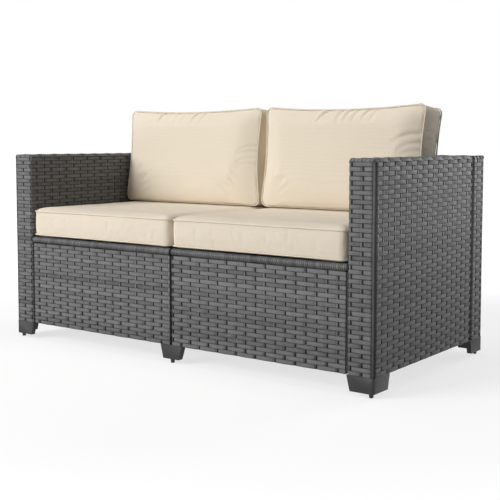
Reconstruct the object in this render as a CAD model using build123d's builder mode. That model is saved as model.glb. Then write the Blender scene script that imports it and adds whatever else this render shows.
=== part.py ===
from build123d import *
import os
from math import cos, radians, sin

# Patio loveseat: two boxed arms and a boxed backrest of woven resin over welded tube
# frames, two seat frames with a woven deck, a woven skirt and a wrapped front rail, six
# feet with turning glides, and two seat and two back cushions.
# Millimetres. The front faces -Y, +X is to the right of someone who faces the seat, Z is
# up, and the origin is on the floor, under the middle of the loveseat.

# Overall size
width = 1366.0
depth = 675.0
arm_height = 610.0
arm_width = 81.0
back_thickness = 81.0
seat_height = 340.0
skin_bottom = 53.5

# Woven skin
skin = 4.0
skin_corner = 9.0

# Square frame tube
tube = 18.0
tube_wall = 1.2
tube_corner = 1.5
upright_share = 0.5

# Seat halves
middle_gap = 4.0
skirt_recess = 3.0
skirt_groove = 7.0
arm_groove = 4.0
rail_groove = 3.0
rail_setback = 1.0
rail_wrap_diameter = 20.0
front_tube_diameter = 16.0
wrap_clearance = 0.05
wrap_notch_clearance = 0.2
skirt_gap = 0.5
deck_thickness = 4.0
deck_side_gap = 3.5
deck_back_gap = 1.0

# Feet
foot_x_reach = 81.0
foot_y_reach = 85.0
foot_wall = 14.5
foot_taper = 10.0
foot_bottom = 12.0
foot_boss_radius = 10.0
middle_foot_width = 80.0
middle_foot_thickness = 22.0
middle_foot_back_taper = 4.0
foot_screw_inset = 8.25
foot_screw_reach = 50.0
middle_screw_spread = 24.0
foot_counterbore_depth = 14.0

# Glides
glide_inset = 15.5
glide_top_radius = 6.5
glide_foot_radius = 5.6
glide_edge = 1.0
glide_clearance = 0.1
glide_stem_radius = 4.0
glide_stem_length = 26.0
glide_stem_clearance = 0.05
glide_bore_end_gap = 2.0

# Fasteners: M6 button-head bolts into rivet nuts, and tapping screws under the feet
bolt_radius = 3.0
bolt_hole_clearance = 0.3
bolt_head_radius = 5.25
bolt_head_height = 3.3
bolt_head_taper = 35.0
bolt_socket_radius = 2.3
bolt_socket_depth = 2.0
thread_clearance = 0.05
rivet_engagement = 14.0
rivet_radius = 4.5
rivet_flange_radius = 6.5
rivet_flange_thickness = 1.0
rivet_clearance = 0.05
skin_hole_radius = 7.0
washer_radius = 6.0
washer_thickness = 1.6
screw_radius = 2.4
screw_head_radius = 4.75
screw_head_height = 3.7
screw_socket_radius = 1.8
screw_socket_depth = 2.2
screw_engagement = 10.0
screw_clearance = 0.05
screw_hole_clearance = 0.25
counterbore_clearance = 0.4
side_bolt_inset = 70.0
rear_bolt_inset = 90.0
middle_bolt_inset = 110.0
back_bolt_inset = 95.0

# Cushions
cushion_rest_gap = 0.3
cushion_cloth = 1.5
foam_gap = 0.4
piping_radius = 2.5
piping_gap = 0.15
boxing_bulge = 2.0
seat_cushion_middle_gap = 6.0
seat_cushion_side_gap = 5.0
seat_cushion_front = 1.0
seat_cushion_rear_gap = 3.0
seat_cushion_lift = 6.0
seat_cushion_edge = 81.0
seat_cushion_crown = 11.0
seat_cushion_corner = 28.0
seat_cushion_bow = 3.0
seat_crown_reach = 28.0
seat_bottom_reach = 30.0
back_cushion_middle_gap = 10.0
back_cushion_side_gap = 8.0
back_cushion_height = 324.0
back_cushion_boxing = 104.0
back_cushion_front_crown = 24.0
back_cushion_rear_crown = 28.0
back_cushion_corner = 22.0
back_cushion_bow = 8.0
back_crown_reach = 95.0
back_lean = 5.2
# Crown profile, from the seam to the flat top: inset as a share of the crown's reach, and
# height as a share of its crown
crown_inset_shares = (0.0, 0.14, 0.45, 1.0)
crown_height_shares = (0.0, 0.48, 0.86, 1.0)

overrun = 1.0

SIDES = (("left", -1), ("right", 1))
CORNERS = (
    ("front_left", -1, -1),
    ("front_right", 1, -1),
    ("rear_left", -1, 1),
    ("rear_right", 1, 1),
)

# Places worked out from the sizes above
half_width = width / 2
half_depth = depth / 2
arm_inner = half_width - arm_width
back_front = half_depth - back_thickness
frame_bottom = skin_bottom + skin
frame_top = arm_height - skin
half_tube = tube / 2
seat_rail_top = seat_height - deck_thickness
seat_rail_z = seat_rail_top - half_tube
rail_heights = (frame_bottom + half_tube, seat_rail_z, frame_top - half_tube)
arm_post_xs = (arm_inner + skin + half_tube, half_width - skin - half_tube)
arm_post_ys = (-half_depth + skin + half_tube, back_front - skin - half_tube)
back_post_x = half_width - skin - half_tube
back_post_ys = (back_front + skin + half_tube, half_depth - skin - half_tube)
upright_xs = (-arm_inner * upright_share, 0.0, arm_inner * upright_share)

skirt_front = -half_depth + skirt_recess
skirt_tube_y = skirt_front + skin + half_tube
wrap_radius = rail_wrap_diameter / 2
front_tube_radius = front_tube_diameter / 2
front_rail_y = -half_depth + rail_setback + wrap_radius
front_rail_z = seat_height - wrap_radius
long_rail_front = front_rail_y + front_tube_radius
rear_rail_y = back_front - half_tube
inner_rail_x = middle_gap / 2 + half_tube
outer_rail_x = arm_inner - half_tube
long_rail_xs = (inner_rail_x, (inner_rail_x + outer_rail_x) / 2, outer_rail_x)


def box_between(low, high, mode=Mode.ADD):
    """An upright block between two opposite corners."""
    middle = [(a + b) / 2 for a, b in zip(low, high)]
    with Locations(tuple(middle)):
        Box(*(b - a for a, b in zip(low, high)), mode=mode)


def square_tube(start, direction, length):
    """A hollow square tube from the middle of its end, along a direction."""
    with BuildSketch(Plane(origin=start, z_dir=direction)) as section:
        RectangleRounded(tube, tube, tube_corner)
        Rectangle(tube - 2 * tube_wall, tube - 2 * tube_wall, mode=Mode.SUBTRACT)
    extrude(section.sketch, amount=length)


def drill(planes, radius, length):
    """Straight round holes that start on each plane and run along its axis."""
    with Locations(*planes):
        Cylinder(
            radius,
            length,
            align=(Align.CENTER, Align.CENTER, Align.MIN),
            mode=Mode.SUBTRACT,
        )


def save(part, name):
    """Labels a finished piece and writes it."""
    part.label = name
    export_step(part, f"parts/{name}.step")


os.makedirs("parts", exist_ok=True)

# Where the bolts go. Each plane lies on the outer face of the tube that holds the rivet
# nut, and its axis is the way the bolt is driven.
side_bolt_ys = (
    long_rail_front + side_bolt_inset,
    (long_rail_front + back_front) / 2,
    back_front - side_bolt_inset,
)
rear_bolt_xs = (inner_rail_x + rear_bolt_inset, outer_rail_x - rear_bolt_inset)
middle_bolt_ys = (long_rail_front + middle_bolt_inset, back_front - middle_bolt_inset)
back_bolt_zs = (frame_bottom + back_bolt_inset, frame_top - back_bolt_inset)


def arm_nut_planes(side):
    x = side * (arm_inner + skin)
    return [Plane((x, y, seat_rail_z), z_dir=(side, 0, 0)) for y in side_bolt_ys]


def rear_nut_planes(side):
    y = back_front + skin
    return [Plane((side * x, y, seat_rail_z), z_dir=(0, 1, 0)) for x in rear_bolt_xs]


def back_nut_planes(side):
    x = side * back_post_x
    y = back_front - skin
    return [Plane((x, y, z), z_dir=(0, -1, 0)) for z in back_bolt_zs]


middle_nut_planes = [
    Plane((middle_gap / 2, y, seat_rail_z), z_dir=(1, 0, 0)) for y in middle_bolt_ys
]

# Where the foot screws and glides go, as points on the floor plan
corner_screw_points = {
    name: (
        (x_side * (half_width - arm_width / 2), y_side * (half_depth - foot_screw_inset)),
        (x_side * (half_width - foot_screw_inset), y_side * (half_depth - foot_screw_reach)),
    )
    for name, x_side, y_side in CORNERS
}
middle_screw_ys = {"front_middle": skirt_tube_y, "rear_middle": back_post_ys[1]}
screw_points = dict(corner_screw_points)
for name, y in middle_screw_ys.items():
    screw_points[name] = ((-middle_screw_spread, y), (middle_screw_spread, y))
all_screw_points = [point for points in screw_points.values() for point in points]


def screw_planes(height):
    return [Plane((x, y, height)) for x, y in all_screw_points]


def drill_screw_holes(bottom, thickness):
    """Holes for the foot screws in whatever covers them at this height."""
    drill(screw_planes(bottom - overrun), screw_radius + screw_clearance, thickness + 2 * overrun)


# Arm frames, welded from their tubes: four posts, six long rails and six short spacers
for side_name, side in SIDES:
    with BuildPart() as arm_posts:
        for x in arm_post_xs:
            for y in arm_post_ys:
                square_tube((side * x, y, frame_bottom), (0, 0, 1), frame_top - frame_bottom)
        drill(back_nut_planes(side), rivet_radius + rivet_clearance, half_tube)
    save(arm_posts.part, f"arm_posts_{side_name}")

    with BuildPart() as arm_rails:
        rail_length = arm_post_ys[1] - arm_post_ys[0] - tube
        for x in arm_post_xs:
            for z in rail_heights:
                square_tube((side * x, arm_post_ys[0] + half_tube, z), (0, 1, 0), rail_length)
        drill(arm_nut_planes(side), rivet_radius + rivet_clearance, half_tube)
        drill_screw_holes(frame_bottom, tube_wall)
    save(arm_rails.part, f"arm_rails_{side_name}")

    with BuildPart() as arm_spacers:
        spacer_x = side * (arm_post_xs[0] + half_tube)
        spacer_length = arm_post_xs[1] - arm_post_xs[0] - tube
        for y in arm_post_ys:
            for z in rail_heights:
                square_tube((spacer_x, y, z), (side, 0, 0), spacer_length)
        drill_screw_holes(frame_bottom, tube_wall)
    save(arm_spacers.part, f"arm_spacers_{side_name}")

# Backrest frame, welded from its tubes: end posts and uprights, through rails, and
# spacers between the front and the rear
with BuildPart() as back_posts:
    upright_spans = (
        (rail_heights[0] + half_tube, rail_heights[1] - half_tube),
        (rail_heights[1] + half_tube, rail_heights[2] - half_tube),
    )
    for y in back_post_ys:
        for x in (-back_post_x, back_post_x):
            square_tube((x, y, frame_bottom), (0, 0, 1), frame_top - frame_bottom)
        for x in upright_xs:
            for low, high in upright_spans:
                square_tube((x, y, low), (0, 0, 1), high - low)
    for _, side in SIDES:
        bolt_planes = [plane.offset(-back_thickness - overrun) for plane in back_nut_planes(side)]
        drill(bolt_planes, bolt_radius + bolt_hole_clearance, back_thickness)
save(back_posts.part, "back_posts")

with BuildPart() as back_rails:
    for y in back_post_ys:
        for z in rail_heights:
            square_tube((half_tube - back_post_x, y, z), (1, 0, 0), 2 * back_post_x - tube)
    for _, side in SIDES:
        drill(rear_nut_planes(side), rivet_radius + rivet_clearance, half_tube)
    drill_screw_holes(frame_bottom, tube_wall)
save(back_rails.part, "back_rails")

with BuildPart() as back_spacers:
    spacer_length = back_post_ys[1] - back_post_ys[0] - tube
    for x in (-back_post_x, *upright_xs, back_post_x):
        for z in rail_heights:
            square_tube((x, back_post_ys[0] + half_tube, z), (0, 1, 0), spacer_length)
    drill_screw_holes(frame_bottom, tube_wall)
save(back_spacers.part, "back_spacers")


def woven_skin(low, high):
    """A woven skin over a boxed frame, turned in under its lower tubes."""
    with BuildPart() as body:
        box_between(low, high)
        fillet(body.edges().filter_by(Axis.Z) + body.edges().group_by(Axis.Z)[-1], skin_corner)
        inner_low = [v + skin for v in low]
        inner_high = [v - skin for v in high]
        box_between(inner_low, inner_high, mode=Mode.SUBTRACT)
        slot_low = (inner_low[0] + tube, inner_low[1] + tube, low[2] - overrun)
        slot_high = (inner_high[0] - tube, inner_high[1] - tube, inner_low[2] + overrun)
        box_between(slot_low, slot_high, mode=Mode.SUBTRACT)
    return body.part


# Woven skins of the arms
for side_name, side in SIDES:
    arm_xs = sorted((side * arm_inner, side * half_width))
    with BuildPart() as arm_wicker:
        add(
            woven_skin(
                (arm_xs[0], -half_depth, skin_bottom), (arm_xs[1], back_front, arm_height)
            )
        )
        for planes in (arm_nut_planes(side), back_nut_planes(side)):
            skin_planes = [plane.offset(-skin - overrun) for plane in planes]
            drill(skin_planes, skin_hole_radius, skin + 2 * overrun)
        drill_screw_holes(skin_bottom, skin)
    save(arm_wicker.part, f"arm_wicker_{side_name}")

# Woven skin of the backrest, the full width of the loveseat
with BuildPart() as back_wicker:
    add(woven_skin((-half_width, back_front, skin_bottom), (half_width, half_depth, arm_height)))
    for _, side in SIDES:
        skin_planes = [plane.offset(-skin - overrun) for plane in rear_nut_planes(side)]
        drill(skin_planes, skin_hole_radius, skin + 2 * overrun)
        back_planes = [plane.offset(-back_thickness - 2 * skin) for plane in back_nut_planes(side)]
        drill(back_planes, skin_hole_radius, back_thickness + 2 * skin)
    drill_screw_holes(skin_bottom, skin)
save(back_wicker.part, "back_wicker")

# Seat halves
long_rail_length = rear_rail_y - half_tube - long_rail_front
rail_run = arm_inner - middle_gap / 2
skirt_post_top = seat_rail_top - tube
wrap_inner = middle_gap / 2 + rail_groove / 2
wrap_run = arm_inner - rail_groove - wrap_inner

for side_name, side in SIDES:
    across = (side, 0, 0)
    bolt_through = bolt_radius + bolt_hole_clearance

    with BuildPart() as seat_front_rail:
        start = Plane((side * middle_gap / 2, front_rail_y, front_rail_z), z_dir=across)
        with BuildSketch(start):
            Circle(front_tube_radius)
            Circle(front_tube_radius - tube_wall, mode=Mode.SUBTRACT)
        extrude(amount=rail_run)
    save(seat_front_rail.part, f"seat_front_rail_{side_name}")

    with BuildPart() as seat_long_rails:
        for x in long_rail_xs:
            square_tube((side * x, long_rail_front, seat_rail_z), (0, 1, 0), long_rail_length)
        side_planes = [plane.offset(-skin - tube - overrun) for plane in arm_nut_planes(side)]
        drill(side_planes, bolt_through, tube + 2 * overrun)
        if side > 0:
            drill(middle_nut_planes, rivet_radius + rivet_clearance, half_tube)
        else:
            far_planes = [plane.offset(-middle_gap - tube - overrun) for plane in middle_nut_planes]
            drill(far_planes, bolt_through, tube + 2 * overrun)
    save(seat_long_rails.part, f"seat_long_rails_{side_name}")

    with BuildPart() as seat_rear_rail:
        square_tube((side * middle_gap / 2, rear_rail_y, seat_rail_z), across, rail_run)
        rear_planes = [plane.offset(-skin - tube - overrun) for plane in rear_nut_planes(side)]
        drill(rear_planes, bolt_through, tube + 2 * overrun)
    save(seat_rear_rail.part, f"seat_rear_rail_{side_name}")

    with BuildPart() as skirt_posts:
        for x in long_rail_xs:
            bottom = frame_bottom + tube
            square_tube((side * x, skirt_tube_y, bottom), (0, 0, 1), skirt_post_top - bottom)
    save(skirt_posts.part, f"skirt_posts_{side_name}")

    with BuildPart() as skirt_bottom_rail:
        square_tube(
            (side * middle_gap / 2, skirt_tube_y, frame_bottom + half_tube), across, rail_run
        )
        drill_screw_holes(frame_bottom, tube_wall)
    save(skirt_bottom_rail.part, f"skirt_bottom_rail_{side_name}")

    with BuildPart() as seat_deck:
        deck_xs = sorted((side * deck_side_gap, side * (arm_inner - deck_side_gap)))
        deck_front = front_rail_y + wrap_radius
        box_between(
            (deck_xs[0], deck_front, seat_rail_top),
            (deck_xs[1], back_front - deck_back_gap, seat_height),
        )
    save(seat_deck.part, f"seat_deck_{side_name}")

    with BuildPart() as skirt_wicker:
        skirt_xs = sorted((side * skirt_groove / 2, side * (arm_inner - arm_groove)))
        skirt_top = seat_height - rail_wrap_diameter - skirt_gap
        box_between(
            (skirt_xs[0], skirt_front, skin_bottom), (skirt_xs[1], skirt_front + skin, skirt_top)
        )
        box_between(
            (skirt_xs[0], skirt_front, skin_bottom),
            (skirt_xs[1], skirt_front + skin + tube, frame_bottom),
        )
        drill_screw_holes(skin_bottom, skin)
    save(skirt_wicker.part, f"skirt_wicker_{side_name}")

    with BuildPart() as rail_wrap:
        start = Plane((side * wrap_inner, front_rail_y, front_rail_z), z_dir=across)
        with BuildSketch(start):
            Circle(wrap_radius)
            Circle(front_tube_radius + wrap_clearance, mode=Mode.SUBTRACT)
        extrude(amount=wrap_run)
        for x in long_rail_xs:
            reach = half_tube + wrap_notch_clearance
            box_between(
                (side * x - reach, front_rail_y, seat_rail_z - reach),
                (side * x + reach, front_rail_y + rail_wrap_diameter, seat_rail_z + reach),
                mode=Mode.SUBTRACT,
            )
    save(rail_wrap.part, f"rail_wrap_{side_name}")


# Feet
def corner_foot_section(height, x_reach, y_reach, x_side, y_side):
    """The L of a corner foot at one height, its corner on the loveseat's corner."""
    x = x_side * half_width
    y = y_side * half_depth
    with BuildSketch(Plane.XY.offset(height)) as section:
        with BuildLine():
            Polyline(
                (x, y),
                (x - x_side * x_reach, y),
                (x - x_side * x_reach, y - y_side * foot_wall),
                (x - x_side * foot_wall, y - y_side * foot_wall),
                (x - x_side * foot_wall, y - y_side * y_reach),
                (x, y - y_side * y_reach),
                close=True,
            )
        make_face()
        fillet(section.vertices().sort_by_distance((x, y, 0))[0], skin_corner)
    return section.sketch


def cut_foot_holes(points, glide_point):
    """Counterbored screw holes and the glide's bore, all from below."""
    screw_floor = [Plane((x, y, foot_bottom - overrun)) for x, y in points]
    drill(screw_floor, screw_head_radius + counterbore_clearance, foot_counterbore_depth + overrun)
    drill(screw_floor, screw_radius + screw_hole_clearance, skin_bottom)
    bore_floor = [Plane((*glide_point, foot_bottom - overrun))]
    bore_depth = glide_stem_length + glide_bore_end_gap + overrun
    drill(bore_floor, glide_stem_radius + glide_stem_clearance, bore_depth)


glide_points = {}
for name, x_side, y_side in CORNERS:
    glide_points[name] = (x_side * (half_width - glide_inset), y_side * (half_depth - glide_inset))
    with BuildPart() as foot:
        foot_top_section = corner_foot_section(
            skin_bottom, foot_x_reach, foot_y_reach, x_side, y_side
        )
        foot_bottom_section = corner_foot_section(
            foot_bottom, foot_x_reach - foot_taper, foot_y_reach - foot_taper, x_side, y_side
        )
        loft([foot_top_section, foot_bottom_section], ruled=True)
        with BuildSketch(Plane.XY.offset(foot_bottom)):
            with Locations(glide_points[name]):
                Circle(foot_boss_radius)
        extrude(amount=skin_bottom - foot_bottom)
        cut_foot_holes(screw_points[name], glide_points[name])
    save(foot.part, f"foot_{name}")

for name, face_y, y_side in (
    ("front_middle", skirt_front, -1),
    ("rear_middle", half_depth, 1),
):
    bottom_thickness = middle_foot_thickness - middle_foot_back_taper
    glide_points[name] = (0.0, face_y - y_side * bottom_thickness / 2)
    with BuildPart() as foot:
        for height, foot_width, thickness in (
            (skin_bottom, middle_foot_width, middle_foot_thickness),
            (foot_bottom, middle_foot_width - 2 * foot_taper, bottom_thickness),
        ):
            with BuildSketch(Plane.XY.offset(height)):
                with Locations((0, face_y - y_side * thickness / 2)):
                    Rectangle(foot_width, thickness)
        loft(ruled=True)
        cut_foot_holes(screw_points[name], glide_points[name])
    save(foot.part, f"foot_{name}")

# Glides: a rounded pad on a threaded stem that turns in the foot
with BuildPart() as glide:
    pad_height = foot_bottom - glide_clearance
    with BuildSketch():
        Circle(glide_foot_radius)
    with BuildSketch(Plane.XY.offset(pad_height)):
        Circle(glide_top_radius)
    loft()
    chamfer(glide.edges().group_by(Axis.Z)[0], glide_edge)
    with BuildSketch(Plane.XY.offset(pad_height)):
        Circle(glide_stem_radius)
    extrude(amount=glide_stem_length)
for name, (x, y) in glide_points.items():
    with BuildPart() as placed_glide:
        with Locations((x, y)):
            add(glide.part)
    save(placed_glide.part, f"glide_{name}")


# Fasteners
def fastener(radius, length, head_radius, head_height, taper, socket_radius, socket_depth):
    """A socket-head fastener: its head's seat is at the origin and it points along +Z."""
    with BuildPart() as body:
        with BuildSketch():
            Circle(head_radius)
        extrude(amount=-head_height, taper=taper)
        with BuildSketch(Plane.XY.offset(-head_height)):
            RegularPolygon(socket_radius, 6)
        extrude(amount=socket_depth, mode=Mode.SUBTRACT)
        with BuildSketch():
            Circle(radius)
        extrude(amount=length)
    return body.part


def save_group(piece, planes, name):
    """Writes one node of identical separate pieces, one at each plane."""
    with BuildPart() as group:
        with Locations(*planes):
            add(piece)
    save(group.part, name)


frame_bolt = fastener(
    bolt_radius,
    washer_thickness + tube + skin + rivet_engagement,
    bolt_head_radius,
    bolt_head_height,
    bolt_head_taper,
    bolt_socket_radius,
    bolt_socket_depth,
)
back_bolt = fastener(
    bolt_radius,
    back_thickness + rivet_engagement,
    bolt_head_radius,
    bolt_head_height,
    bolt_head_taper,
    bolt_socket_radius,
    bolt_socket_depth,
)
screw_head_seat = foot_bottom + foot_counterbore_depth
foot_screw = fastener(
    screw_radius,
    frame_bottom + screw_engagement - screw_head_seat,
    screw_head_radius,
    screw_head_height,
    0,
    screw_socket_radius,
    screw_socket_depth,
)
with BuildPart() as washer:
    with BuildSketch():
        Circle(washer_radius)
        Circle(bolt_radius + bolt_hole_clearance, mode=Mode.SUBTRACT)
    extrude(amount=washer_thickness)
with BuildPart() as rivet_nut:
    with BuildSketch():
        Circle(rivet_flange_radius)
    extrude(amount=-rivet_flange_thickness)
    with BuildSketch():
        Circle(rivet_radius)
    extrude(amount=rivet_engagement)
    drill([Plane.XY.offset(-overrun)], bolt_radius + thread_clearance, rivet_engagement + 2 * overrun)

skin_joints = [
    plane for _, side in SIDES for plane in arm_nut_planes(side) + rear_nut_planes(side)
]
washer_planes = [plane.offset(-skin - tube - washer_thickness) for plane in skin_joints]
washer_planes += [
    plane.offset(-middle_gap - tube - washer_thickness) for plane in middle_nut_planes
]
long_joints = [plane for _, side in SIDES for plane in back_nut_planes(side)]

save_group(frame_bolt, washer_planes, "frame_bolts")
save_group(washer.part, washer_planes, "frame_washers")
save_group(back_bolt, [plane.offset(-back_thickness) for plane in long_joints], "back_bolts")
save_group(rivet_nut.part, skin_joints + middle_nut_planes + long_joints, "rivet_nuts")
save_group(foot_screw, screw_planes(screw_head_seat), "foot_screws")


# Cushions
def cushion_outline(x_size, y_size, inset, corner, bow):
    """A rounded rectangle whose four sides are drawn in between its corners."""
    x = x_size / 2 - inset
    y = y_size / 2 - inset
    with BuildSketch(mode=Mode.PRIVATE) as outline:
        with BuildLine():
            ThreePointArc((-x, -y), (0, bow - y), (x, -y))
            ThreePointArc((x, -y), (x - bow, 0), (x, y))
            ThreePointArc((x, y), (0, y - bow), (-x, y))
            ThreePointArc((-x, y), (bow - x, 0), (-x, -y))
        make_face()
        fillet(outline.vertices(), corner)
    return outline.sketch


def cushion_body(size, corner, bow, boxing, crowns, reaches, inset):
    """A closed cushion, its lower seam on the XY plane: a boxing that swells a little
    between two seams, with a crowned panel beyond each seam."""
    x_size, y_size = size
    with BuildPart() as body:
        for height, swell in ((0, 0), (boxing / 2, boxing_bulge), (boxing, 0)):
            with BuildSketch(Plane.XY.offset(height)):
                add(cushion_outline(x_size, y_size, inset - swell, corner, bow))
        loft()
        for seam, direction, crown, reach in (
            (0, -1, crowns[0], reaches[0]),
            (boxing, 1, crowns[1], reaches[1]),
        ):
            for inset_share, height_share in zip(crown_inset_shares, crown_height_shares):
                height = seam + direction * height_share * (crown - inset)
                with BuildSketch(Plane.XY.offset(height)):
                    panel_inset = inset + inset_share * reach
                    add(cushion_outline(x_size, y_size, panel_inset, corner, bow))
            loft()
    return body.part


def piping_ring(size, corner, bow):
    """Round piping along a seam, just outside the boxing."""
    offset_out = piping_radius + piping_gap
    path = cushion_outline(*size, -offset_out, corner + offset_out, bow).face().outer_wire()
    with BuildPart() as ring:
        with BuildSketch(Plane(origin=path @ 0, z_dir=path % 0)):
            Circle(piping_radius)
        sweep(path=path)
    return ring.part


def save_cushion(name, plane, size, corner, bow, boxing, crowns, reaches):
    """Cover, filling and piping of one cushion, placed with its lower seam on a plane."""
    place = Location(plane)
    with BuildPart() as cover:
        add(cushion_body(size, corner, bow, boxing, crowns, reaches, 0))
        add(
            cushion_body(size, corner, bow, boxing, crowns, reaches, cushion_cloth),
            mode=Mode.SUBTRACT,
        )
    save(place * cover.part, f"{name}_cover")
    core = cushion_body(size, corner, bow, boxing, crowns, reaches, cushion_cloth + foam_gap)
    save(place * core, f"{name}_filling")
    with BuildPart() as piping:
        with Locations((0, 0, 0), (0, 0, boxing)):
            add(piping_ring(size, corner, bow))
    save(place * piping.part, f"{name}_piping")


# What the piping adds around a cushion's boxing
piping_margin = 2 * piping_radius + piping_gap
seat_cushion_low = seat_height + seat_cushion_lift + piping_radius
seat_cushion_boxing = seat_cushion_edge - 2 * piping_radius
seat_cushion_xs = (seat_cushion_middle_gap / 2, arm_inner - seat_cushion_side_gap)
seat_cushion_ys = (-half_depth + seat_cushion_front, back_front - seat_cushion_rear_gap)
seat_cushion_size = (
    seat_cushion_xs[1] - seat_cushion_xs[0] - 2 * piping_margin,
    seat_cushion_ys[1] - seat_cushion_ys[0] - 2 * piping_margin,
)
seat_cushion_bottom_crown = seat_cushion_low - seat_height - cushion_rest_gap
seat_cushion_top = seat_cushion_low + seat_cushion_boxing + seat_cushion_crown
for side_name, side in SIDES:
    seat_middle = (side * sum(seat_cushion_xs) / 2, sum(seat_cushion_ys) / 2, seat_cushion_low)
    save_cushion(
        f"seat_cushion_{side_name}",
        Plane(seat_middle),
        seat_cushion_size,
        seat_cushion_corner,
        seat_cushion_bow,
        seat_cushion_boxing,
        (seat_cushion_bottom_crown, seat_cushion_crown),
        (seat_bottom_reach, seat_crown_reach),
    )

# A back cushion stands on its lower rear seam and leans on the backrest's rounded top edge
lean = radians(back_lean)
back_cushion_xs = (back_cushion_middle_gap / 2, arm_inner - back_cushion_side_gap)
back_cushion_size = (
    back_cushion_xs[1] - back_cushion_xs[0] - 2 * piping_margin,
    back_cushion_height - 2 * piping_margin,
)
seam_half = back_cushion_height / 2 - piping_radius
back_middle_z = seat_cushion_top + cushion_rest_gap + piping_radius + seam_half * cos(lean)
rear_face_z = back_middle_z - back_cushion_rear_crown * sin(lean)
edge_rise = (arm_height - skin_corner - rear_face_z) * sin(lean)
rear_face_y = back_front + skin_corner - (skin_corner + cushion_rest_gap + edge_rise) / cos(lean)
back_middle_y = rear_face_y - back_cushion_rear_crown * cos(lean)
for side_name, side in SIDES:
    back_middle = (side * sum(back_cushion_xs) / 2, back_middle_y, back_middle_z)
    save_cushion(
        f"back_cushion_{side_name}",
        Plane(back_middle, x_dir=(1, 0, 0), z_dir=(0, -cos(lean), sin(lean))),
        back_cushion_size,
        back_cushion_corner,
        back_cushion_bow,
        back_cushion_boxing,
        (back_cushion_rear_crown, back_cushion_front_crown),
        (back_crown_reach, back_crown_reach),
    )
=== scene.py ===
import bmesh
import bpy
import numpy as np
from math import pi, radians
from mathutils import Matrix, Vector
from mathutils.kdtree import KDTree


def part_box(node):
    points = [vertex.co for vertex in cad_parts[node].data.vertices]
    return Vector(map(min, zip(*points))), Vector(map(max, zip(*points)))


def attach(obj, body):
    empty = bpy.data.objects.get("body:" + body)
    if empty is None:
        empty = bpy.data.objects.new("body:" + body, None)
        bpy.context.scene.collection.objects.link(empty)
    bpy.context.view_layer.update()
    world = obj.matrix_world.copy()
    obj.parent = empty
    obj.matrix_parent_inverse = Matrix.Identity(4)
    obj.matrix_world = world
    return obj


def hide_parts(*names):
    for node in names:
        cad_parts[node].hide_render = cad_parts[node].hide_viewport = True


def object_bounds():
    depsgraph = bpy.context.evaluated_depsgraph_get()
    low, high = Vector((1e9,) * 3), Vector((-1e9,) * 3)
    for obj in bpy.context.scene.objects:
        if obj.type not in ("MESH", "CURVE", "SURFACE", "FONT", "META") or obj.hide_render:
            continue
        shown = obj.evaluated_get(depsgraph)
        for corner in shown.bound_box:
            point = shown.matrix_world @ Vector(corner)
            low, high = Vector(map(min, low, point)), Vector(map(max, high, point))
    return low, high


# Patio loveseat: woven resin arms, backrest and skirts, wrapped front rails, black feet,
# and piped cream cushions. Metres. The front faces -Y and +X is the viewer's right.
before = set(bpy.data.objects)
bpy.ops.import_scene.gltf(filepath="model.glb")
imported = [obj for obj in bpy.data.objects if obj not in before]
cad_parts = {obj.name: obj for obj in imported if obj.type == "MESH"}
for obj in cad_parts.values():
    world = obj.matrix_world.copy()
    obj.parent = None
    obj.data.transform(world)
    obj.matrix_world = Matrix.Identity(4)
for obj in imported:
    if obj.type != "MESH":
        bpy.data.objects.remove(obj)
cad_low, cad_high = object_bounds()
scene = bpy.context.scene
scene.view_settings.view_transform = "Standard"
random = np.random.default_rng(17)

# Weave
strand_thickness = 0.0013
weave_depth = 0.0027
row_height = 0.0120
stake_pitch = 0.033
stake_half_width = 0.0034
stake_shift = 0.0020
stake_depth = 0.00135
# Painted shade on the stakes, which are the same resin as the strands
stake_painted_shade = 0.4
gentle_share = 0.55
dive_near, dive_far = 0.08, 0.19
stake_steps = np.array([0.08, 0.19, 0.34, 0.66, 0.81, 0.92])
skin_corner = 0.009
binding_reach = 0.0073
binding_edges = (-0.0082, -0.0068, 0.0088, 0.0106)
binding_depth = 1.2
# Painted shade on the corner bindings
binding_painted_shade = 0.88
# Painted shade where a strand dives under a stake or runs under a corner binding
under_painted_shade = 1.7
strand_wobble = 0.00016
strand_spread = (1.035, 0.015)
lip_width = 0.021
end_gap = 0.0005

# Cross-sections: share of the half width, and height over the outer face in millimetres
strand_section = np.array(
    [(-1, -0.70), (-0.93, -0.16), (-0.70, 0), (0.70, 0), (0.93, -0.16), (1, -0.70), (0, -1.3)]
)
stake_section = np.array([(-1, -0.5), (-0.8, 0), (0.8, 0), (1, -0.5), (0.6, -1.3), (-0.6, -1.3)])
strand_section[:, 1] *= 0.001
stake_section[:, 1] *= 0.001


# Meshes
def facing_out(points, quads, *caps):
    """Turns faces round if their quads face inwards: six times the volume inside them is
    the sum of a . (b x c) + a . (c x d) over their corners a, b, c and d."""
    a, b, c, d = (points[quads[:, k]] - points.mean(0) for k in range(4))
    inwards = np.sum(np.cross(b, c) * a) + np.sum(np.cross(c, d) * a) < 0
    return [f[:, ::-1] if inwards else f for f in (quads, *caps)]


def grid_quads(index, closed=False):
    """Quads between the rows of a grid of point numbers. Each row is a closed ring, and a
    closed grid goes on from its last row to its first."""
    here = index if closed else index[..., :-1, :]
    ahead = np.roll(index, -1, -2) if closed else index[..., 1:, :]
    quads = np.stack([here, np.roll(here, -1, -1), np.roll(ahead, -1, -1), ahead], -1)
    return quads.reshape(-1, 4)


def everywhere(vector, points):
    """The same vector at each of the points."""
    return np.broadcast_to(np.array(vector, float), points.shape)


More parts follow.
